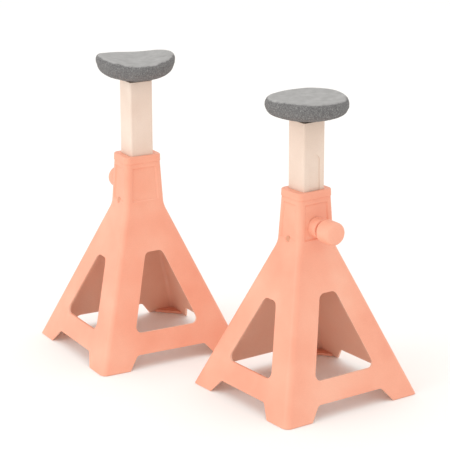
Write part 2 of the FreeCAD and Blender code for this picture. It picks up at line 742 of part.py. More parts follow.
def build_stop(label):
    """The plate plugged into the post's lower end, too wide to pass the lower guide."""
    body = new_body(label)
    plate = sketch_on(body, "XY_Plane", f"{label}_plate", STOP_TOP)
    rounded_rectangle(plate, "Sizes.stop_side", "Sizes.stop_side", "Sizes.post_corner")
    pad(body, plate, "Sizes.stop_thickness", reverse=True)
    plug = sketch_on(body, "XY_Plane", f"{label}_plug", STOP_TOP)
    inner = "Sizes.post_side - 2 * Sizes.post_wall - 2 * Sizes.seat_gap"
    rounded_rectangle(plug, inner, inner, "Sizes.post_corner")
    pad(body, plug, "Sizes.stop_plug")
    return body


def build_head(label):
    """The block welded flush into the post's upper end, bored for the saddle's spigot."""
    body = new_body(label)
    block = sketch_on(body, "XY_Plane", f"{label}_block", "Sizes.post_top")
    inner = "Sizes.post_side - 2 * Sizes.post_wall"
    rounded_rectangle(block, inner, inner, "Sizes.post_corner / 2")
    pad(body, block, "Sizes.head_length", reverse=True)
    bore = sketch_on(body, "XY_Plane", f"{label}_bore", "Sizes.post_top")
    circle(bore, "Sizes.spigot_diameter + 2 * Sizes.bore_gap")
    pocket(body, bore)
    return body


CORE_LOW = f"({SADDLE_BASE} + Sizes.core_bottom)"
CORE_HIGH = f"({CORE_LOW} + Sizes.core_thickness)"
CLIP_TOP = "(Sizes.post_top - Sizes.head_length - Sizes.rest_gap)"
SPIGOT_END = f"({CLIP_TOP} - Sizes.spigot_tail)"


def build_core(label):
    """The saddle's steel core: a disc inside the pad, a hub and the spigot that turns in the post's head."""
    body = new_body(label)
    half = sketch_on(body, "XZ_Plane", f"{label}_half")
    groove_low = f"({CLIP_TOP} - Sizes.clip_thickness)"
    outline(half, [
        ("0", SPIGOT_END),
        ("Sizes.spigot_diameter / 2", SPIGOT_END),
        ("Sizes.spigot_diameter / 2", groove_low),
        ("Sizes.clip_groove / 2", groove_low),
        ("Sizes.clip_groove / 2", CLIP_TOP),
        ("Sizes.spigot_diameter / 2", CLIP_TOP),
        ("Sizes.spigot_diameter / 2", SADDLE_BASE),
        ("Sizes.hub_diameter / 2", SADDLE_BASE),
        ("Sizes.hub_diameter / 2", CORE_LOW),
        ("Sizes.core_diameter / 2", CORE_LOW),
        ("Sizes.core_diameter / 2", CORE_HIGH),
        ("0", CORE_HIGH),
    ])
    revolve(body, half)
    return body


def build_pad(label, rise):
    """The rough rubber saddle pad: a thick disc with a bowl-shaped belly and a trough on top.

    rise is how far the ends of the trough stand above its middle.
    """
    body = new_body(label)
    half = sketch_on(body, "XZ_Plane", f"{label}_half")
    side = f"({SADDLE_BASE} + Sizes.saddle_side)"
    top = f"({SADDLE_BASE} + Sizes.saddle_valley + 2 * {rise})"
    corners = [
        ("0", SADDLE_BASE),
        ("Sizes.saddle_seat / 2", SADDLE_BASE),
        (f"({SADDLE_HALF} - Sizes.saddle_belly)", f"({SADDLE_BASE} + Sizes.saddle_belly)"),
        (SADDLE_HALF, side),
        (SADDLE_HALF, top),
        ("0", top),
    ]
    bends = [None, "Sizes.belly_round", "Sizes.belly_round", "Sizes.flank_round", None, None]
    round_outline(half, corners, bends)
    revolve(body, half)
    trough = sketch_on(body, "XZ_Plane", f"{label}_trough")
    valley = f"({SADDLE_BASE} + Sizes.saddle_valley)"
    radius = f"(({SADDLE_HALF}) ^ 2 + {rise} ^ 2) / (2 * {rise})"
    circle(trough, f"2 * {radius}", "0", f"{valley} + {radius}")
    pocket(body, trough, "2 * Sizes.saddle_diameter", both_ways=True)
    rim_low = size(valley) - 1
    on_rim = lambda e: middle_of(e).z > rim_low and not isinstance(e.Curve, Part.Line)
    round_edges(body, on_rim, "Sizes.saddle_round")
    seat = sketch_on(body, "XZ_Plane", f"{label}_seat")
    outline(seat, [
        ("0", f"{SADDLE_BASE} - Sizes.saddle_gap"),
        ("Sizes.hub_diameter / 2", f"{SADDLE_BASE} - Sizes.saddle_gap"),
        ("Sizes.hub_diameter / 2", CORE_LOW),
        ("Sizes.core_diameter / 2", CORE_LOW),
        ("Sizes.core_diameter / 2", CORE_HIGH),
        ("0", CORE_HIGH),
    ])
    revolve(body, seat, cut=True)
    return body


def build_clip(label):
    """The ring that snaps into the spigot's groove under the post's head."""
    body = new_body(label)
    ring = sketch_on(body, "XY_Plane", f"{label}_ring", CLIP_TOP)
    circle(ring, "Sizes.clip_diameter")
    circle(ring, "Sizes.clip_groove")
    pad(body, ring, "Sizes.clip_thickness", reverse=True)
    return body


CENTRES = {
    "right": ("Sizes.middle_across", "-Sizes.middle_along"),
    "left": ("(Sizes.middle_across - Sizes.pair_across)", "(Sizes.pair_along - Sizes.middle_along)"),
}
UP = Vector(0, 0, 1)


def place(item, stand, turn, raise_by="0"):
    """Moves a piece from the stand's own frame to the stand's place in the pair."""
    item.Placement = Placement(Vector(), Rotation(UP, turn))
    across, along = CENTRES[stand]
    item.setExpression(".Placement.Base.x", across)
    item.setExpression(".Placement.Base.y", along)
    item.setExpression(".Placement.Base.z", raise_by)


def wall_corners(window_side):
    """The four walls of a base, each with the signs of its two corners in order round the base."""
    walls = {"pin_wall": ((-1, -1), (1, -1)), "back_wall": ((1, 1), (-1, 1))}
    walls["window_side_wall"] = ((window_side, -window_side), (window_side, window_side))
    walls["plain_side_wall"] = ((-window_side, window_side), (-window_side, -window_side))
    return walls


def split_shell(stand, window_side):
    """The base as its four welded walls and its neck, cut from one skin along the corner lines."""
    skin = build_base(f"{stand}_base_skin", window_side)
    run = {side: f"((Sizes.base_{side} - Sizes.neck_foot_{side}) / 2)" for side in ("length", "width")}
    outer = {side: f"(Sizes.base_{side} / 2 + Sizes.seam_reach * {run[side]})" for side in run}
    inner = {side: f"(Sizes.neck_foot_{side} / 2 - Sizes.seam_reach * {run[side]})" for side in run}
    seam = "(Sizes.crease_height - Sizes.crease_reach)"
    pieces = []
    for wall, (first, last) in wall_corners(window_side).items():
        block = new_body(f"{stand}_{wall}_block")
        sketch = sketch_on(block, "XY_Plane", f"{block.Label}_sketch", "-Sizes.wall")
        corners = [(outer, first), (outer, last), (inner, last), (inner, first)]
        outline(sketch, [
            (f"{sx} * {reach['length']}", f"{sy} * {reach['width']}") for reach, (sx, sy) in corners
        ])
        pad(block, sketch, f"{seam} + Sizes.wall")
        pieces.append(common(f"{stand}_{wall}", skin, block))
    block = new_body(f"{stand}_neck_block")
    sketch = sketch_on(block, "XY_Plane", f"{block.Label}_sketch", seam)
    rounded_rectangle(sketch, "Sizes.base_length", "Sizes.base_width", "Sizes.base_corner")
    pad(block, sketch, "Sizes.neck_top")
    pieces.append(common(f"{stand}_neck", skin, block))
    return pieces


def common(label, first, second):
    """What two shapes share."""
    shared = doc.addObject("Part::Common", label)
    shared.Base = first
    shared.Tool = second
    shared.Label = label
    doc.recompute()
    return shared


def build_stand(stand, window_side):
    """All the pieces of one stand, placed."""
    turn = STAND_TURNS[stand]
    base_pieces = split_shell(stand, window_side) + [
        build_foot_plates(f"{stand}_foot_plates"),
        build_collar(f"{stand}_neck_collar"),
        build_guide(f"{stand}_lower_guide"),
        build_rivets(f"{stand}_guide_rivets"),
        build_boss(f"{stand}_lock_boss"),
        build_retainer(f"{stand}_spring_retainer"),
        build_pin(f"{stand}_lock_pin"),
        build_knob(f"{stand}_lock_knob"),
    ]
    post_pieces = [
        build_post(f"{stand}_post"),
        build_stop(f"{stand}_post_stop"),
        build_head(f"{stand}_post_head"),
    ]
    saddle_pieces = [
        build_core(f"{stand}_saddle_core"),
        build_pad(f"{stand}_saddle_pad", f"Sizes.{stand}_rise"),
        build_clip(f"{stand}_saddle_clip"),
    ]
    raised = f"{RAISED_HOLES[stand]} * Sizes.pitch"
    for item in base_pieces:
        place(item, stand, turn)
    for item in post_pieces:
        place(item, stand, turn, raised)
    for item in saddle_pieces:
        place(item, stand, turn + SADDLE_TURNS[stand], raised)
    spring, start = build_spring(f"{stand}_lock_spring")
    facing = Rotation(UP, turn)
    out = facing.multVec(Vector(0, -1, 0))
    spring.Placement = Placement(Vector(), facing * Rotation(Vector(1, 0, 0), 90))
    across, along = CENTRES[stand]
    spring.setExpression(".Placement.Base.x", f"{across} + {out.x} * {start}")
    spring.setExpression(".Placement.Base.y", f"{along} + {out.y} * {start}")
    spring.setExpression(".Placement.Base.z", "Sizes.pin_height")
    return base_pieces + post_pieces + saddle_pieces + [spring]


pieces = build_stand("right", -1) + build_stand("left", 1)
doc.recompute()

for item in doc.Objects:
    if "Invalid" in item.State or "Error" in item.State:
        raise RuntimeError(f"{item.Label} failed: {item.State}")
for piece in pieces:
    if piece.Shape.isNull() or not piece.Shape.isValid():
        raise RuntimeError(f"{piece.Label} has no valid shape")

os.makedirs("parts", exist_ok=True)
for piece in pieces:
    piece.Shape.exportStep(f"parts/{piece.Label}.step")
    box = piece.Shape.BoundBox
    print(f"{piece.Label}: {piece.Shape.Volume / 1000:.2f} cm3, {len(piece.Shape.Solids)} solid(s), "
          f"z {box.ZMin:.1f} to {box.ZMax:.1f}")
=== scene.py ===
# %% [markdown]
# # A pair of axle jack stands
#
# A jack stand holds a car up while someone works under it. Each one has a pressed steel base, a square post
# that slides in the neck, a sprung pin with a pull knob that locks the post, and a rubber saddle on top.
#
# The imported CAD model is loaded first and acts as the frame: every new piece is placed from its boxes and
# rides on one of its bodies, so nothing has to be fitted by eye.

import math

import bmesh
import bpy
from mathutils import Matrix, Vector, noise


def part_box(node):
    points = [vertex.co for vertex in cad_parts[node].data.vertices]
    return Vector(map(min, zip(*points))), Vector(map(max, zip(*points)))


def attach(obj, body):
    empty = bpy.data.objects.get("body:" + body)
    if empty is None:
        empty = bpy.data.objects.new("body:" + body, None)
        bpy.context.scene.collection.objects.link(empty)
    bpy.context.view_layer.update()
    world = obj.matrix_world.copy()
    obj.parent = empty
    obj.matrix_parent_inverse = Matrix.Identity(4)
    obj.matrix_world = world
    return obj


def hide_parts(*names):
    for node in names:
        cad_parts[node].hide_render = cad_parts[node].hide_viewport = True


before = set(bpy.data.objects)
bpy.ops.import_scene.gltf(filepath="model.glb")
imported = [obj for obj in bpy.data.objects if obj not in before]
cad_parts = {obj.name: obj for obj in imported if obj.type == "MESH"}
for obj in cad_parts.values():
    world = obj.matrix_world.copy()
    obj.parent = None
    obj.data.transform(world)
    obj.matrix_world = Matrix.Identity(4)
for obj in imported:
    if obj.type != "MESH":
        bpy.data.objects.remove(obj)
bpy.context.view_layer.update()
print("nodes:", len(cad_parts))

# %% [markdown]
# ## Sizes
#
# The stands are drawn in millimetres, as a sheet-metal shop would, and turned to metres at the last step.
# The two stands are the same part. The left one is turned by nearly half a turn, and its base has its two
# windows in the opposite walls, so that the windows of both stands face nearly the same way.

# %% Units and places
MM = 0.001
STANDS = {
    "right": {"turn": 0.0, "window_side": -1},
    "left": {"turn": math.radians(173.8), "window_side": 1},
}
SADDLE_TURNS = {"right": math.radians(18), "left": math.radians(-14)}


def stand_matrix(stand, spin=0.0):
    """Where a piece drawn in a stand's own frame belongs in the pair."""
    low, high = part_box(f"{stand}_post")
    middle = (Vector(low) + Vector(high)) / 2
    place = Matrix.Translation((middle.x, middle.y, 0))
    return place @ Matrix.Rotation(STANDS[stand]["turn"] + spin, 4, "Z")


for stand in STANDS:
    print(stand, "stands at", [round(v, 4) for v in stand_matrix(stand).translation])

# %% [markdown]
# ## From a bmesh to a finished piece
#
# Every new piece ends the same way. Its mesh is scaled to metres and moved to its place, its faces are
# pointed outwards, and the object itself stays at the origin, unturned and unscaled. It then rides on a CAD
# body, takes its material slot, and stands for the CAD nodes it replaces.

# %% Finish a piece


def finish_piece(bm, name, body, material, stand, replaced=(), spin=0.0):
    """Turns a bmesh drawn in millimetres into a placed object that rides on a body."""
    bmesh.ops.transform(bm, matrix=stand_matrix(stand, spin) @ Matrix.Scale(MM, 4), verts=bm.verts)
    bmesh.ops.remove_doubles(bm, verts=bm.verts, dist=1e-6)
    bmesh.ops.recalc_face_normals(bm, faces=bm.faces)
    mesh = bpy.data.meshes.new(name)
    bm.to_mesh(mesh)
    bm.free()
    mesh.polygons.foreach_set("use_smooth", [True] * len(mesh.polygons))
    piece = bpy.data.objects.new(name, mesh)
    bpy.context.scene.collection.objects.link(piece)
    piece.data.materials.append(material)
    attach(piece, body)
    if replaced:
        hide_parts(*replaced)
    print(name, len(mesh.polygons), "faces")
    return piece


def soften(piece, width, segments=3, angle=32):
    """Rounds the sharp edges of a piece and keeps its flat faces flat in the shading."""
    bevel = piece.modifiers.new("rounded_edges", "BEVEL")
    bevel.width = width * MM
    bevel.segments = segments
    bevel.limit_method = "ANGLE"
    bevel.angle_limit = math.radians(angle)
    bevel.use_clamp_overlap = True
    flat = piece.modifiers.new("flat_faces", "WEIGHTED_NORMAL")
    flat.weight = 50
    return piece


# %% [markdown]
# ## Colours and nodes
#
# Colours are picked as sRGB hex values, the way a paint shop or a web page gives them, and Blender works in
# linear light, so one function converts them. A second small function adds any node with its settings and
# links, which keeps each material readable from top to bottom.

# %% Colour and node helpers


def linear(hex_colour):
    """An sRGB hex colour as the linear RGBA that shaders use."""
    parts = [int(hex_colour[i : i + 2], 16) / 255 for i in (1, 3, 5)]
    return [p / 12.92 if p <= 0.04045 else ((p + 0.055) / 1.055) ** 2.4 for p in parts] + [1.0]


def add_node(tree, kind, settings=None, values=None, links=None, stops=None):
    """Adds one node. Settings are attributes, values are socket values, links are socket to output.

    Stops are the (position, hex colour) pairs of a colour ramp, from low to high.
    """
    node = tree.nodes.new(kind)
    for key, value in (settings or {}).items():
        setattr(node, key, value)
    for key, value in (values or {}).items():
        node.inputs[key].default_value = value
    for key, output in (links or {}).items():
        tree.links.new(output, node.inputs[key])
    for index, (position, colour) in enumerate(stops or []):
        elements = node.color_ramp.elements
        element = elements[index] if index < len(elements) else elements.new(position)
        element.position = position
        element.color = linear(colour)
    return node


def new_material(name, **values):
    """A material with one Principled shader, its fixed values set on the shader itself."""
    material = bpy.data.materials.new(name)
    material.use_nodes = True
    shader = material.node_tree.nodes["Principled BSDF"]
    for key, value in values.items():
        shader.inputs[key.replace("_", " ")].default_value = value
    return material, material.node_tree, shader


# %% [markdown]
# ## Powder-coated steel
#
# The bases and knobs are mild steel with a baked powder coat. Powder is sprayed dry and flows out in an
# oven, which leaves a fine ripple like orange peel, about 1.5 to 2 mm from crest to crest, and a soft satin
# gloss. The coat goes on a little thinner on ridges and thicker in hollows, so the colour drifts very
# slightly over some centimetres. A dielectric with an IOR near 1.5 and a roughness around 0.45 gives that
# quiet sheen.

# %% Powder coat


def powder_coat(name, pale, main, deep, roughness):
    """Satin powder coat: drifting colour, orange peel, and faint dust nibs."""
    material, tree, shader = new_material(name, Roughness=roughness, IOR=1.5)
    place = add_node(tree, "ShaderNodeTexCoord").outputs["Object"]
    drift = add_node(
        tree,
        "ShaderNodeTexNoise",
        values={"Scale": 1 / (70 * MM), "Detail": 3.0, "Roughness": 0.5},
        links={"Vector": place},
    )
    colour = add_node(
        tree,
        "ShaderNodeValToRGB",
        links={"Fac": drift.outputs["Fac"]},
        stops=[(0.32, deep), (0.5, main), (0.7, pale)],
    )
    speck = add_node(
        tree,
        "ShaderNodeTexNoise",
        values={"Scale": 1 / (0.9 * MM), "Detail": 2.0},
        links={"Vector": place},
    )
    fleck = add_node(
        tree,
        "ShaderNodeMapRange",
        values={"From Min": 0.3, "From Max": 0.75, "To Min": 0.965, "To Max": 1.03},
        links={"Value": speck.outputs["Fac"]},
    )
    toned = add_node(
        tree,
        "ShaderNodeVectorMath",
        settings={"operation": "SCALE"},
        links={0: colour.outputs["Color"], "Scale": fleck.outputs["Result"]},
    )
    tree.links.new(toned.outputs["Vector"], shader.inputs["Base Color"])
    gloss = add_node(
        tree,
        "ShaderNodeMapRange",
        values={"From Min": 0.3, "From Max": 0.7, "To Min": roughness - 0.05, "To Max": roughness + 0.07},
        links={"Value": drift.outputs["Fac"]},
    )
    tree.links.new(gloss.outputs["Result"], shader.inputs["Roughness"])
    peel = add_node(
        tree,
        "ShaderNodeTexNoise",
        values={"Scale": 1 / (1.8 * MM), "Detail": 1.5, "Roughness": 0.45},
        links={"Vector": place},
    )
    ripple = add_node(
        tree,
        "ShaderNodeBump",
        values={"Strength": 0.12, "Distance": 0.15 * MM},
        links={"Height": peel.outputs["Fac"]},
    )
    tree.links.new(ripple.outputs["Normal"], shader.inputs["Normal"])
    return material


coral_paint = powder_coat("coral_powder_coat", "#F6B59A", "#F4AA8E", "#F0A185", 0.48)
# A paler copy of the coral coat for the inside of the base: painted light standing in for light bounced in
# from the floor.
bounce_lit_paint = powder_coat("inner_painted_light_coat", "#FDCDB6", "#FCC6AD", "#F9BDA3", 0.6)
# A darker copy of the coral coat for the rivets: painted shade where they sit in their dimples.
shaded_paint = powder_coat("rivet_painted_shade_coat", "#E3A486", "#D99A7C", "#CE8E71", 0.55)
cream_paint = powder_coat("cream_powder_coat", "#EBD8C9", "#E6D0C0", "#E0C9B8", 0.5)
print("made", coral_paint.name, "and", cream_paint.name)

# %% [markdown]
# ## Bare steel
#
# The lock pin, the post's stop and the saddle's core are turned or cut from bright steel. Turning leaves
# fine rings, a few tenths of a millimetre apart, and handling leaves a thin film of oil, so the surface is
# a metal of middling roughness with a fine streak. A metal keeps the default IOR, because its colour sets
# its reflection.

# %% Bare steel


def bare_steel(name, base, streak, roughness):
    """Machined steel with a fine streak across it."""
    material, tree, shader = new_material(name, Metallic=1.0, Roughness=roughness)
    place = add_node(tree, "ShaderNodeTexCoord").outputs["Object"]
    stretch = add_node(
        tree,
        "ShaderNodeMapping",
        values={"Scale": (1 / (6 * MM), 1 / (0.4 * MM), 1 / (0.4 * MM))},
        links={"Vector": place},
    )
    lines = add_node(
        tree,
        "ShaderNodeTexNoise",
        values={"Scale": 1.0, "Detail": 2.0},
        links={"Vector": stretch.outputs["Vector"]},
    )
    colour = add_node(
        tree,
        "ShaderNodeValToRGB",
        links={"Fac": lines.outputs["Fac"]},
        stops=[(0.3, streak), (0.7, base)],
    )
    tree.links.new(colour.outputs["Color"], shader.inputs["Base Color"])
    cut = add_node(
        tree,
        "ShaderNodeBump",
        values={"Strength": 0.2, "Distance": 0.05 * MM},
        links={"Height": lines.outputs["Fac"]},
    )
    tree.links.new(cut.outputs["Normal"], shader.inputs["Normal"])
    return material


bright_steel = bare_steel("turned_steel", "#B4B2AF", "#8C8884", 0.36)
spring_wire = bare_steel("spring_wire", "#77736F", "#57534F", 0.42)
print("made", bright_steel.name, "and", spring_wire.name)

# %% [markdown]
# ## Gritty rubber
#
# The saddle is covered in cast rubber crumb: grains of 1 to 2 mm pressed and glued, like the tiles of a gym
# floor. Its sides keep the open grain, with light flecks where a grain catches the light. The top is pressed
# flatter and smoother. The top is painted paler, as light falling on it, and the sides darker, as shade; this
# painted light follows how far a face looks upwards, so it is taken from the surface's normal.

# %% Rubber


def crumb_rubber(name):
    """Grey rubber crumb: open grain on sides, smoother on top; painted shade on the sides, painted light on
    top.
    """
    material, tree, shader = new_material(name, Roughness=0.86, IOR=1.5)
    place = add_node(tree, "ShaderNodeTexCoord").outputs["Object"]
    facing = add_node(tree, "ShaderNodeNewGeometry").outputs["Normal"]
    upward = add_node(tree, "ShaderNodeSeparateXYZ", links={"Vector": facing}).outputs["Z"]
    blotch = add_node(
        tree,
        "ShaderNodeTexNoise",
        values={"Scale": 1 / (12 * MM), "Detail": 4.0, "Roughness": 0.6},
        links={"Vector": place},
    )
    grain = add_node(
        tree,
        "ShaderNodeTexNoise",
        values={"Scale": 1 / (1.5 * MM), "Detail": 3.0, "Roughness": 0.7},
        links={"Vector": place},
    )
    ragged = add_node(
        tree,
        "ShaderNodeMath",
        settings={"operation": "MULTIPLY_ADD"},
        values={1: 0.5, 2: -0.25},
        links={0: blotch.outputs["Fac"]},
    )
    edge = add_node(
        tree,
        "ShaderNodeMath",
        settings={"operation": "ADD"},
        links={0: upward, 1: ragged.outputs["Value"]},
    )
    # A mask of upward faces: the top is painted paler as light falling on it, the sides darker as painted
    # shade.
    top = add_node(
        tree,
        "ShaderNodeMapRange",
        settings={"interpolation_type": "SMOOTHSTEP"},
        values={"From Min": 0.62, "From Max": 0.93, "To Min": 0.0, "To Max": 1.0},
        links={"Value": edge.outputs["Value"]},
    )
    # The side grain colours are kept darker than the top colours as painted shade.
    shaded_side_grain_colour = add_node(
        tree,
        "ShaderNodeValToRGB",
        links={"Fac": grain.outputs["Fac"]},
        stops=[(0.32, "#565555"), (0.5, "#727171"), (0.62, "#868584"), (0.74, "#B0AFAD")],
    )
    lit_top_colour = add_node(
        tree,
        "ShaderNodeValToRGB",
        links={"Fac": blotch.outputs["Fac"]},
        stops=[(0.3, "#9B9A99"), (0.55, "#A7A6A5"), (0.75, "#B0AFAE")],
    )
    colour = add_node(
        tree,
        "ShaderNodeMix",
        settings={"data_type": "RGBA"},
        links={
            "Factor": top.outputs["Result"],
            6: shaded_side_grain_colour.outputs["Color"],
            7: lit_top_colour.outputs["Color"],
        },
    )
    tree.links.new(colour.outputs[2], shader.inputs["Base Color"])
    depth = add_node(
        tree,
        "ShaderNodeMapRange",
        values={"From Min": 0.0, "From Max": 1.0, "To Min": 0.9, "To Max": 0.25},
        links={"Value": top.outputs["Result"]},
    )
    bump = add_node(
        tree,
        "ShaderNodeBump",
        values={"Distance": 0.9 * MM},
        links={"Height": grain.outputs["Fac"], "Strength": depth.outputs["Result"]},
    )
    tree.links.new(bump.outputs["Normal"], shader.inputs["Normal"])
    return material


rubber = crumb_rubber("rubber_crumb")
print("made", rubber.name)

# %% [markdown]
# ## The base
#
# The real base is pressed from sheet: a hollow pyramid that curves into a tapered neck, with a window cut
# in two of its walls and a gap between each two feet. It is easiest to start with a square tube with
# rounded corners, cut rings into it, and slide each ring in or out to its own size. The walls stay flat and
# the corners stay round, as a press would leave them.

# %% Sizes of the base
BASE = {"length": 204.0, "width": 196.0, "corner": 8.0}
NECK_FOOT = {"length": 56.6, "width": 46.4, "corner": 6.5}
NECK_TOP = {"length": 49.8, "width": 39.6, "corner": 6.5}
CREASE, REACH, NECK_HEIGHT = 191.0, 6.0, 256.0
WALL = 2.5
RIM = 10.0
PRESSED_EDGE = 0.8
CORNER_STEPS = 7


def ring_size(z, side):
    """Half the outer size of the base at a height, along its length or its width."""
    leg = (BASE[side] - NECK_FOOT[side]) / 2 / CREASE
    neck = (NECK_FOOT[side] - NECK_TOP[side]) / 2 / (NECK_HEIGHT - CREASE)
    low, foot, high = (
        NECK_FOOT[side] / 2 + REACH * leg,
        NECK_FOOT[side] / 2,
        NECK_FOOT[side] / 2 - REACH * neck,
    )
    if z <= CREASE - REACH:
        return BASE[side] / 2 - leg * z
    if z >= CREASE + REACH:
        return NECK_TOP[side] / 2 + neck * (NECK_HEIGHT - z)
    t = (z - CREASE + REACH) / (2 * REACH)
    return (1 - t) ** 2 * low + 2 * t * (1 - t) * foot + t**2 * high


def corner_size(z):
    """The corner radius at a height: it tightens from the floor to the crease."""
    return max(NECK_FOOT["corner"], BASE["corner"] + (NECK_FOOT["corner"] - BASE["corner"]) * z / CREASE)


def square_tube(length, width, corner, low, high, segments=CORNER_STEPS):
    """A square tube with rounded upright corners, open at both ends."""
    bm = bmesh.new()
    bmesh.ops.create_cube(bm, size=1)
    ends = [f for f in bm.faces if abs(f.normal.z) > 0.5]
    bmesh.ops.delete(bm, geom=ends, context="FACES_ONLY")
    bmesh.ops.scale(bm, vec=(length, width, high - low), verts=bm.verts)
    bmesh.ops.translate(bm, vec=(0, 0, (low + high) / 2), verts=bm.verts)
    upright = [e for e in bm.edges if abs(e.verts[0].co.z - e.verts[1].co.z) > 1]
    bmesh.ops.bevel(
        bm,
        geom=upright,
        offset=corner,
        offset_type="OFFSET",
        segments=segments,
        profile=0.5,
        affect="EDGES",
        material=-1,
    )
    return bm


def cut_level(bm, z):
    """Cuts a ring of edges round the tube at one height."""
    bmesh.ops.bisect_plane(
        bm, geom=bm.verts[:] + bm.edges[:] + bm.faces[:], dist=1e-4, plane_co=(0, 0, z), plane_no=(0, 0, 1)
    )


print("base at the floor:", ring_size(0, "length") * 2, "by", ring_size(0, "width") * 2, "mm")

# %% [markdown]
# ## Cutting the windows and arches
#
# A window is a trapezoid with rounded corners, and so is the gap between two feet. Each is made as a solid
# block with the outline's shape and taken away from the base with a Boolean modifier. The dimples at the
# sides of the neck, where rivets hold the guide inside, are cut in the same way with a shallow disc.

# %% Cutters


def rounded_corners(corners, radii, steps=9):
    """The points of a closed outline whose corners are arcs of the given radii, or plain where it is zero."""
    points = []
    for i, (corner, radius) in enumerate(zip(corners, radii)):
        corner = Vector(corner)
        if radius == 0:
            points.append(corner)
            continue
        back = (Vector(corners[i - 1]) - corner).normalized()
        ahead = (Vector(corners[(i + 1) % len(corners)]) - corner).normalized()
        half = back.angle(ahead) / 2
        centre = corner + (back + ahead).normalized() * radius / math.sin(half)
        first = corner + back * radius / math.tan(half) - centre
        sweep = (math.pi - 2 * half) / steps
        sign = 1 if back.cross(ahead) < 0 else -1
        points += [centre + Matrix.Rotation(sign * sweep * k, 2) @ first for k in range(steps + 1)]
    return points


def prism(corners, radii, near, far):
    """A block with a rounded outline in the X and Z plane, from y = near to y = far."""
    bm = bmesh.new()
    outline = [bm.verts.new((p.x, near, p.y)) for p in rounded_corners(corners, radii)]
    face = bm.faces.new(outline)
    grown = bmesh.ops.extrude_face_region(bm, geom=[face])
    moved = [v for v in grown["geom"] if isinstance(v, bmesh.types.BMVert)]
    bmesh.ops.translate(bm, vec=(0, far - near, 0), verts=moved)
    return bm


def join(target, part, matrix):
    """Adds one bmesh to another, moved by a matrix."""
    bmesh.ops.transform(part, matrix=matrix, verts=part.verts)
    mesh = bpy.data.meshes.new("part")
    part.to_mesh(mesh)
    part.free()
    target.from_mesh(mesh)
    bpy.data.meshes.remove(mesh)


# %% [markdown]
# ### Sizes of the openings
#
# The two windows are not quite alike: the one under the pin is a little wider and reaches higher. Their
# sides lean in towards the top, almost in line with the corner legs.

# %% Openings
WINDOWS = {
    "length": {"sill": 42.5, "leg": 38.9, "top": 137.5, "head": 24.0},
    "width": {"sill": 42.5, "leg": 36.0, "top": 127.0, "head": 22.0},
}
SILL_ROUND, HEAD_ROUND = 7.0, 9.0
FOOT, ARCH_RISE, ARCH_RUN, ARCH_ROUND = 39.5, 17.0, 14.0, 7.0
DIMPLE = {"height": 199.0, "floor": 3.3, "mouth": 5.1, "depth": 2.4, "inset": 0.1}
WALL_REACH = (20.0, 150.0)


def opening_cutters(window_side):
    """All that is cut out of one base, as a single mesh of separate blocks."""
    cutters = bmesh.new()
    turns = {"length": Matrix.Identity(4), "width": Matrix.Rotation(math.radians(-90), 4, "Z")}
    for side, turn in turns.items():
        window = WINDOWS[side]
        slope = (BASE[side] - NECK_FOOT[side]) / 2 / CREASE
        half = BASE[side] / 2 - window["sill"] * slope - window["leg"]
        head = window["head"] / 2
        sill, top = window["sill"], window["top"]
        corners = [(-half, sill), (half, sill), (head, top), (-head, top)]
        radii = [SILL_ROUND, SILL_ROUND, HEAD_ROUND, HEAD_ROUND]
        near, far = (window_side * reach for reach in WALL_REACH)
        join(cutters, prism(corners, radii, near, far), turn)
        toe, crown = BASE[side] / 2 - FOOT + ARCH_RUN, BASE[side] / 2 - FOOT - ARCH_RUN
        corners = [(-toe, -ARCH_RISE), (toe, -ARCH_RISE), (crown, ARCH_RISE), (-crown, ARCH_RISE)]
        join(cutters, prism(corners, [0, 0, ARCH_ROUND, ARCH_ROUND], -WALL_REACH[1], WALL_REACH[1]), turn)
    for sign in (-1, 1):
        dimple = bmesh.new()
        bmesh.ops.create_cone(
            dimple,
            cap_ends=True,
            segments=32,
            radius1=DIMPLE["floor"],
            radius2=DIMPLE["mouth"],
            depth=DIMPLE["depth"],
        )
        seat = ring_size(DIMPLE["height"], "length") - DIMPLE["inset"]
        turn = Matrix.Rotation(math.radians(90 * sign), 4, "Y")
        join(cutters, dimple, Matrix.Translation((sign * seat, 0, DIMPLE["height"])) @ turn)
    return cutters


# %% [markdown]
# ## Building the base
#
# The tube gets its rings, its walls get their thickness with Solidify, the openings are taken away, and
# every sharp edge is rounded by 0.8 mm, which is what tumbling and paint leave on pressed sheet. The four
# faces of the neck are pressed in by a little, so the neck reads as a frame with panels. The inner faces
# get a paler copy of the coat, which is painted light standing in for the light that bounces inside the base.

# %% Base
SHELL_PARTS = ("pin_wall", "back_wall", "window_side_wall", "plain_side_wall", "neck")
PANEL = {"border": 2.0, "slope": 1.8, "depth": -1.3, "least_area": 800}


def apply_modifiers(piece):
    """Bakes a piece's modifiers into its mesh."""
    graph = bpy.context.evaluated_depsgraph_get()
    baked = bpy.data.meshes.new_from_object(piece.evaluated_get(graph))
    piece.modifiers.clear()
    piece.data = baked
    return piece


def cut_away(piece, block, stand):
    """Takes a block drawn in a stand's own frame away from a placed piece."""
    bmesh.ops.recalc_face_normals(block, faces=block.faces)
    bmesh.ops.transform(block, matrix=stand_matrix(stand) @ Matrix.Scale(MM, 4), verts=block.verts)
    mesh = bpy.data.meshes.new("block")
    block.to_mesh(mesh)
    block.free()
    tool = bpy.data.objects.new("block", mesh)
    bpy.context.scene.collection.objects.link(tool)
    cut = piece.modifiers.new("cut", "BOOLEAN")
    cut.operation = "DIFFERENCE"
    cut.solver = "EXACT"
    cut.object = tool
    apply_modifiers(piece)
    bpy.data.objects.remove(tool)


def neck_panels(bm):
    """Presses the four flat faces of the neck in, leaving a border at the corners and the crease."""
    low, high = CREASE + REACH, NECK_HEIGHT - RIM
    faces = [
        f
        for f in bm.faces
        if low < f.calc_center_median().z < high and f.calc_area() > PANEL["least_area"]
    ]
    for width, depth in ((PANEL["border"], 0.0), (PANEL["slope"], PANEL["depth"])):
        bmesh.ops.inset_individual(bm, faces=faces, thickness=width, depth=depth, use_even_offset=True)
    return len(faces)


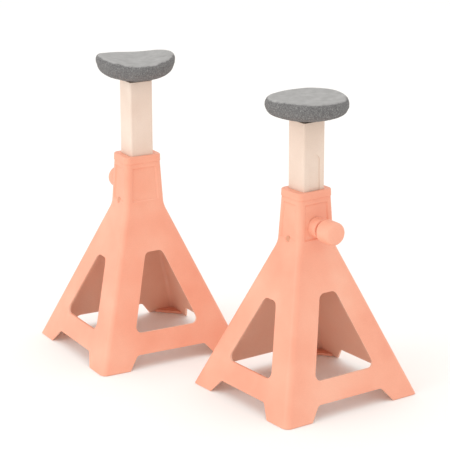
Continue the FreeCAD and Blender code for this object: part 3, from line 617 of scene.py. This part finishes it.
def make_base(stand):
    """One pressed base with its windows, arches, dimples and neck panels."""
    bm = square_tube(BASE["length"], BASE["width"], BASE["corner"], 0, NECK_HEIGHT)
    levels = [CREASE + REACH * step / 3 for step in range(-3, 4)] + [NECK_HEIGHT - RIM]
    for z in levels:
        cut_level(bm, z)
    core = (BASE["length"] / 2 - BASE["corner"], BASE["width"] / 2 - BASE["corner"])
    for v in bm.verts:
        r = corner_size(v.co.z)
        for axis, side in enumerate(("length", "width")):
            out = (abs(v.co[axis]) - core[axis]) / BASE["corner"]
            v.co[axis] = math.copysign(ring_size(v.co.z, side) - r + out * r, v.co[axis])
    count = neck_panels(bm)
    bmesh.ops.recalc_face_normals(bm, faces=bm.faces)
    piece = finish_piece(
        bm,
        f"{stand}_pressed_base",
        f"{stand}_base",
        coral_paint,
        stand,
        [f"{stand}_{part}" for part in SHELL_PARTS],
    )
    skin = piece.modifiers.new("wall", "SOLIDIFY")
    skin.thickness = WALL * MM
    skin.offset = -1
    skin.use_even_offset = True
    cut_away(piece, opening_cutters(STANDS[stand]["window_side"]), stand)
    for v in piece.data.vertices:
        v.co.z = max(v.co.z, 0.0)
    # The inner faces take the paler coat as painted light, in place of the light that bounces into the hollow
    # base.
    piece.data.materials.append(bounce_lit_paint)
    own_frame = stand_matrix(stand).inverted()
    for face in piece.data.polygons:
        place, normal = own_frame @ face.center, own_frame.to_3x3() @ face.normal
        outward = normal.x * place.x / BASE["length"] + normal.y * place.y / BASE["width"]
        if place.z < CREASE * MM and outward < 0:
            face.material_index = 1
    print(sum(face.material_index for face in piece.data.polygons), "faces have the inner coat")
    soften(piece, PRESSED_EDGE)
    print(piece.name, count, "neck panels,", len(piece.data.polygons), "faces after the cuts")
    return piece


for stand in STANDS:
    make_base(stand)

# %% [markdown]
# ## The collar on the neck
#
# The top of the neck ends in a rolled rim, a little proud of the panels. Rolled sheet has a full round
# edge, so the rim is a short square tube, closed on top, rounded on every edge, with a sleeve that goes
# down beside the post.

# %% Collar
COLLAR = {"proud": 0.8, "hole": 16.2, "sleeve": 12.0, "tuck": 0.93, "follow": 0.6, "roll": 2.2}


def make_collar(stand):
    """The rolled rim round the top of the neck."""
    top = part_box(f"{stand}_neck_collar")[1][2] / MM
    grow = COLLAR["proud"]
    bm = square_tube(
        NECK_TOP["length"] + 2 * grow,
        NECK_TOP["width"] + 2 * grow,
        NECK_TOP["corner"] + grow,
        top - RIM,
        top,
    )
    slope = (NECK_FOOT["length"] - NECK_TOP["length"]) / 2 / (NECK_HEIGHT - CREASE)
    for v in bm.verts:
        spread = (top - v.co.z) * slope * COLLAR["follow"]
        v.co.x += math.copysign(spread, v.co.x)
        v.co.y += math.copysign(spread, v.co.y)
    rim = [e for e in bm.edges if all(abs(v.co.z - top) < 1e-3 for v in e.verts)]
    inner = bmesh.ops.extrude_edge_only(bm, edges=rim)
    moved = [v for v in inner["geom"] if isinstance(v, bmesh.types.BMVert)]
    for v in moved:
        v.co.x *= COLLAR["hole"] / (NECK_TOP["length"] / 2 + grow)
        v.co.y *= COLLAR["hole"] / (NECK_TOP["width"] / 2 + grow)
    lip = [e for e in bm.edges if e.is_boundary and all(v in set(moved) for v in e.verts)]
    down = bmesh.ops.extrude_edge_only(bm, edges=lip)
    bmesh.ops.translate(
        bm,
        vec=(0, 0, -COLLAR["sleeve"]),
        verts=[v for v in down["geom"] if isinstance(v, bmesh.types.BMVert)],
    )
    skirt = [
        e for e in bm.edges if e.is_boundary and all(abs(v.co.z - (top - RIM)) < 1e-3 for v in e.verts)
    ]
    tuck = bmesh.ops.extrude_edge_only(bm, edges=skirt)
    for v in [v for v in tuck["geom"] if isinstance(v, bmesh.types.BMVert)]:
        v.co.x *= COLLAR["tuck"]
        v.co.y *= COLLAR["tuck"]
    piece = finish_piece(
        bm,
        f"{stand}_rolled_rim",
        f"{stand}_base",
        coral_paint,
        stand,
        [f"{stand}_neck_collar"],
    )
    return soften(piece, COLLAR["roll"], segments=5, angle=40)


for stand in STANDS:
    make_collar(stand)

# %% [markdown]
# ## Turned pieces: boss and knob
#
# The boss, and the cap of the knob, are round, so they are turned: half of the outline is drawn as a short
# chain of points beside the axis and spun by a full turn. Distances are measured out from the centre of the
# post along the pin, so the spun piece is laid down to point outwards afterwards.

# %% Turning helper
PIN_HEIGHT = 214.0
PIN_DIAMETER = 7.0
BOSS = {"face": 22.0, "end": 32.5, "radius": 12.0}
KNOB = {"near": 33.0, "cap": 38.0, "end": 61.5, "radius": 14.3, "hub": 9.5, "recess": 7.3, "notch": 6.0}


def spun(outline, segments):
    """Spins a half outline of (radius, height) about the Z axis."""
    bm = bmesh.new()
    points = [bm.verts.new((radius, 0, height)) for radius, height in outline]
    edges = [bm.edges.new(pair) for pair in zip(points, points[1:])]
    bmesh.ops.spin(
        bm,
        geom=points + edges,
        cent=(0, 0, 0),
        axis=(0, 0, 1),
        angle=math.tau,
        steps=segments,
        use_merge=True,
        use_duplicate=False,
    )
    bmesh.ops.remove_doubles(bm, verts=bm.verts, dist=1e-4)
    return bm


def turned(outline, segments=72):
    """Spins a half outline of (distance out, radius) about the pin's axis."""
    bm = spun([(radius, out) for out, radius in outline], segments)
    lay_down = Matrix.Translation((0, 0, PIN_HEIGHT)) @ Matrix.Rotation(math.radians(90), 4, "X")
    bmesh.ops.transform(bm, matrix=lay_down, verts=bm.verts)
    return bm


def rounded(start, end, centre, steps):
    """Points on a quarter arc between two outline points about a centre, both ends included."""
    result = []
    for i in range(steps + 1):
        angle = math.pi / 2 * i / steps
        result.append(
            (
                centre[0] + (start[0] - centre[0]) * math.cos(angle) + (end[0] - centre[0]) * math.sin(angle),
                centre[1] + (start[1] - centre[1]) * math.cos(angle) + (end[1] - centre[1]) * math.sin(angle),
            )
        )
    return result


# %% [markdown]
# ### The boss
#
# The boss is welded to the neck, so a small fillet of weld and paint flares out where it lands. Its mouth is
# closed by the ring that the spring pushes on.

# %% Boss
for stand in STANDS:
    face, end, radius = BOSS["face"], BOSS["end"], BOSS["radius"]
    bore = PIN_DIAMETER / 2 + 0.1
    outline = [(face - 1.6, radius + 0.9), (face + 0.3, radius + 0.7), (face + 1.2, radius + 0.2)]
    outline += [(face + 2.2, radius)]
    outline += rounded((end - 1.6, radius), (end, radius - 1.6), (end - 1.6, radius - 1.6), 5)
    outline += [(end, bore), (end - 4, bore)]
    finish_piece(
        turned(outline),
        f"{stand}_boss",
        f"{stand}_base",
        coral_paint,
        stand,
        [f"{stand}_lock_boss"],
    )

# %% [markdown]
# ### The knob
#
# The knob is a broad cap with a nearly flat end, on a narrow hollow hub. The hub has a notch at the top and
# at the bottom, where a dark slot shows beside the boss. The notches are cut with one upright block.

# %% Knob
for stand in STANDS:
    near, cap, end, radius = (KNOB[key] for key in ("near", "cap", "end", "radius"))
    bore = PIN_DIAMETER / 2 + 0.02
    outline = [(end - 8, bore), (cap + 2.5, bore), (cap + 2.5, KNOB["recess"]), (near, KNOB["recess"])]
    outline += [(near, KNOB["hub"]), (cap, KNOB["hub"] + 0.2)]
    outline += rounded((cap + 0.1, radius - 1.8), (cap + 1.9, radius), (cap + 1.9, radius - 1.8), 5)
    outline += [(cap + 6.0, radius + 0.15), (end - 10.0, radius + 0.1)]
    outline += rounded((end - 5.6, radius - 0.1), (end - 0.7, radius - 5.0), (end - 5.6, radius - 5.0), 10)
    outline += [(end - 0.3, radius - 9.0), (end, 0.0)]
    knob = finish_piece(
        turned(outline),
        f"{stand}_pull_knob",
        f"{stand}_lock",
        coral_paint,
        stand,
        [f"{stand}_lock_knob"],
    )
    half = KNOB["notch"] / 2
    low, high = PIN_HEIGHT - 2 * radius, PIN_HEIGHT + 2 * radius
    notch = prism([(-half, low), (half, low), (half, high), (-half, high)], [0] * 4, -near + 1, -cap - 0.4)
    cut_away(knob, notch, stand)
    soften(knob, 0.35, segments=2)

# %% [markdown]
# ## The saddle
#
# The saddle's pad is a thick disc, bent like a shallow trough so that an axle tube lies in it, with a bowl-
# shaped belly that comes down to the post. Half of its outline is spun into a round cushion first. Then
# every point is lifted by how far it lies along the trough's raised ends, and pushed in or out a little by
# noise, which leaves the lumpy edge of a cast piece and the open grain of its sides.

# %% Saddle
PAD = {"radius": 50.6, "seat": 15.0, "valley": 27.0, "side": 14.5, "belly": 7.5}
RISES = {"right": 3.0, "left": 8.5}


def pad_outline():
    """Half of the pad's outline as (radius, height) points, from the middle of the top to the belly."""
    rim, valley = PAD["radius"], PAD["valley"]
    knots = [
        (0, valley - 0.6),
        (rim * 0.45, valley - 0.4),
        (rim * 0.78, valley),
        (rim - 6.0, valley + 0.2),
        (rim - 2.6, valley - 1.6),
        (rim - 0.6, valley - 5.0),
        (rim, valley - 9.0),
        (rim - 0.8, PAD["side"] - 0.5),
        (rim - 4.0, PAD["belly"] + 1.8),
        (rim - 10.0, PAD["belly"] - 1.0),
        (rim * 0.56, 3.4),
        (PAD["seat"] + 2, 0.6),
        (PAD["seat"] - 3, 0.3),
        (0, 0.3),
    ]
    points = []
    for i in range(len(knots) - 1):
        p0, p1, p2, p3 = (Vector(knots[min(max(k, 0), len(knots) - 1)]) for k in (i - 1, i, i + 1, i + 2))
        steps = max(2, round((p2 - p1).length / 1.6))
        for k in range(steps):
            t = k / steps
            bend = (2 * p0 - 5 * p1 + 4 * p2 - p3) * t**2 + (3 * p1 - p0 - 3 * p2 + p3) * t**3
            points.append((2 * p1 + (p2 - p0) * t + bend) / 2)
    points.append(Vector(knots[-1]))
    return [(max(p.x, 0.0), p.y) for p in points]


def make_saddle(stand):
    """The rubber pad: round from above, troughed on top, bowl-shaped below."""
    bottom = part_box(f"{stand}_saddle_pad")[0][2] / MM
    seed = Vector((17.0, 5.0, 3.0)) if stand == "right" else Vector((-9.0, 21.0, 8.0))
    bm = spun(pad_outline(), 200)
    bm.normal_update()
    moves = []
    for v in bm.verts:
        radius = Vector(v.co.xy).length
        across = v.co.x / PAD["radius"]
        lift = RISES[stand] * across**2 * min(1.0, v.co.z / PAD["side"])
        rough = 1.0 - 0.8 * max(0.0, v.normal.z)
        swell = noise.noise(v.co / 26 + seed) * 0.9 * min(1.0, radius / 30)
        grain = (noise.noise(v.co / 2.1 + seed) + 0.6 * noise.noise(v.co / 1.1 + seed)) * 0.42 * rough
        moves.append(v.co + v.normal * (swell * 0.7 + grain) + Vector((0, 0, lift)))
    for v, place in zip(bm.verts, moves):
        v.co = place + Vector((0, 0, bottom))
    return finish_piece(
        bm,
        f"{stand}_rubber_pad",
        f"{stand}_saddle",
        rubber,
        stand,
        [f"{stand}_saddle_pad"],
        SADDLE_TURNS[stand],
    )


for stand in STANDS:
    make_saddle(stand)

# %% [markdown]
# ## Finishes on the CAD pieces
#
# The post, its ends, the pin, the guides and the spring already have their right shape, so they stay as
# they are and only get a finish.

# %% Materials for the carried-over nodes
FINISHES = {
    "post": cream_paint,
    "post_head": cream_paint,
    "post_stop": bright_steel,
    "foot_plates": coral_paint,
    "guide_rivets": shaded_paint,
    "lower_guide": bright_steel,
    "spring_retainer": bright_steel,
    "lock_pin": bright_steel,
    "lock_spring": spring_wire,
    "saddle_core": bright_steel,
    "saddle_clip": spring_wire,
}
for stand in STANDS:
    for part, material in FINISHES.items():
        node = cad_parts[f"{stand}_{part}"]
        for slot_entry in node.material_slots:
            slot_entry.material = material
        print(node.name, "is", material.name)

# %% [markdown]
# ## Floor, light and camera
#
# The stands stand in a pale studio: a floor that runs out of view, a broad soft light at the side, another
# one above, and a bright even surround, so that the shadows are wide and faint.

# %% Floor
floor_mesh = bmesh.new()
bmesh.ops.create_grid(floor_mesh, x_segments=1, y_segments=1, size=12.0)
floor_data = bpy.data.meshes.new("studio_floor")
floor_mesh.to_mesh(floor_data)
floor_mesh.free()
floor = bpy.data.objects.new("studio_floor", floor_data)
bpy.context.scene.collection.objects.link(floor)
floor.location.z = -0.0005
paper, _, paper_shader = new_material("paper_floor", Roughness=0.9)
paper_shader.inputs["Base Color"].default_value = linear("#FDFCFA")
floor_data.materials.append(paper)
print("floor ready")

# %% Light
world = bpy.data.worlds.new("studio")
bpy.context.scene.world = world
world.use_nodes = True
sky = world.node_tree.nodes["Background"]
sky.inputs["Color"].default_value = linear("#FFFEFC")
sky.inputs["Strength"].default_value = 1.04


def soft_light(name, place, target, size, power):
    """A square area light that looks at a point."""
    data = bpy.data.lights.new(name, "AREA")
    data.size = size
    data.energy = power
    lamp = bpy.data.objects.new(name, data)
    lamp.location = place
    lamp.rotation_euler = (Vector(target) - Vector(place)).to_track_quat("-Z", "Y").to_euler()
    bpy.context.scene.collection.objects.link(lamp)
    return lamp


soft_light("key", (-2.4, 0.2, 1.1), (0, 0, 0.15), 1.6, 13.0)
soft_light("overhead", (0.0, 0.0, 3.2), (0, 0, 0), 3.0, 6.0)
print("lights ready")

# %% Camera
camera_data = bpy.data.cameras.new("camera")
camera = bpy.data.objects.new("camera", camera_data)
bpy.context.scene.collection.objects.link(camera)
bpy.context.scene.camera = camera
camera_data.sensor_width = 36.0
camera_data.lens = 153.1
camera_data.clip_end = 60.0
HEADING, PITCH, ROLL = math.radians(35.21), math.radians(16.59), math.radians(-0.18)
camera.location = (-1.3268, -1.9049, 0.8775)
forward = Vector(
    (math.sin(HEADING) * math.cos(PITCH), math.cos(HEADING) * math.cos(PITCH), -math.sin(PITCH))
)
camera.rotation_euler = (
    (forward.to_track_quat("-Z", "Y").to_matrix() @ Matrix.Rotation(ROLL, 3, "Z")).to_euler()
)
print("camera at", [round(v, 3) for v in camera.location])

bpy.context.scene.view_settings.view_transform = "Standard"
